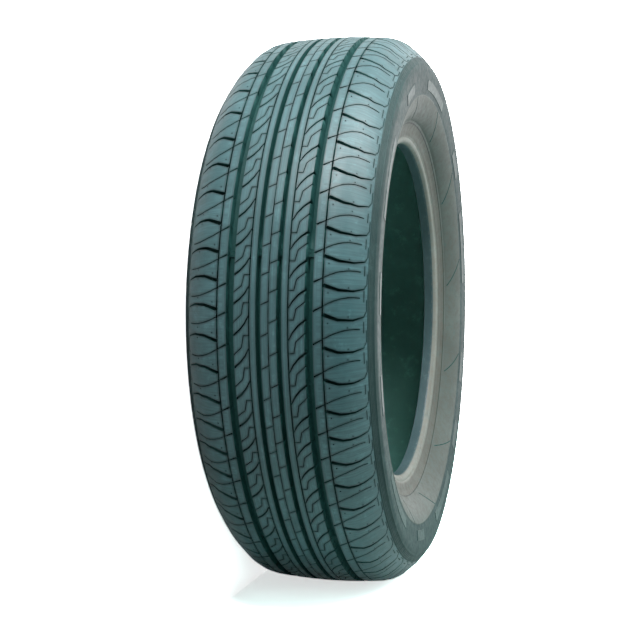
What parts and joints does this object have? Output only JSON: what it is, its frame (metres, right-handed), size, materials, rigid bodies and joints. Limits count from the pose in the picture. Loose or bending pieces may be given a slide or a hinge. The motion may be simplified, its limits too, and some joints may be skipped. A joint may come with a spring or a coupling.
{
  "type": "car tyre",
  "caption": "Passenger-car tyre without a rim: open ring with a ribbed tread, curved cross grooves in the shoulders, plain sidewalls and bead seats.",
  "frame": {"origin": "centre of the tyre: on the wheel axis, midway between the two sidewalls", "axes": "+Z along the wheel axis towards the upper sidewall when the tyre lies flat; X and Y lie in the wheel plane, which has no preferred direction"},
  "size_m": [0.622, 0.622, 0.1914],
  "materials": {
    "tyre": "moulded rubber, satin"
  },
  "bodies": {
    "root": {"tyre": "tyre"}
  },
  "joints": []
}
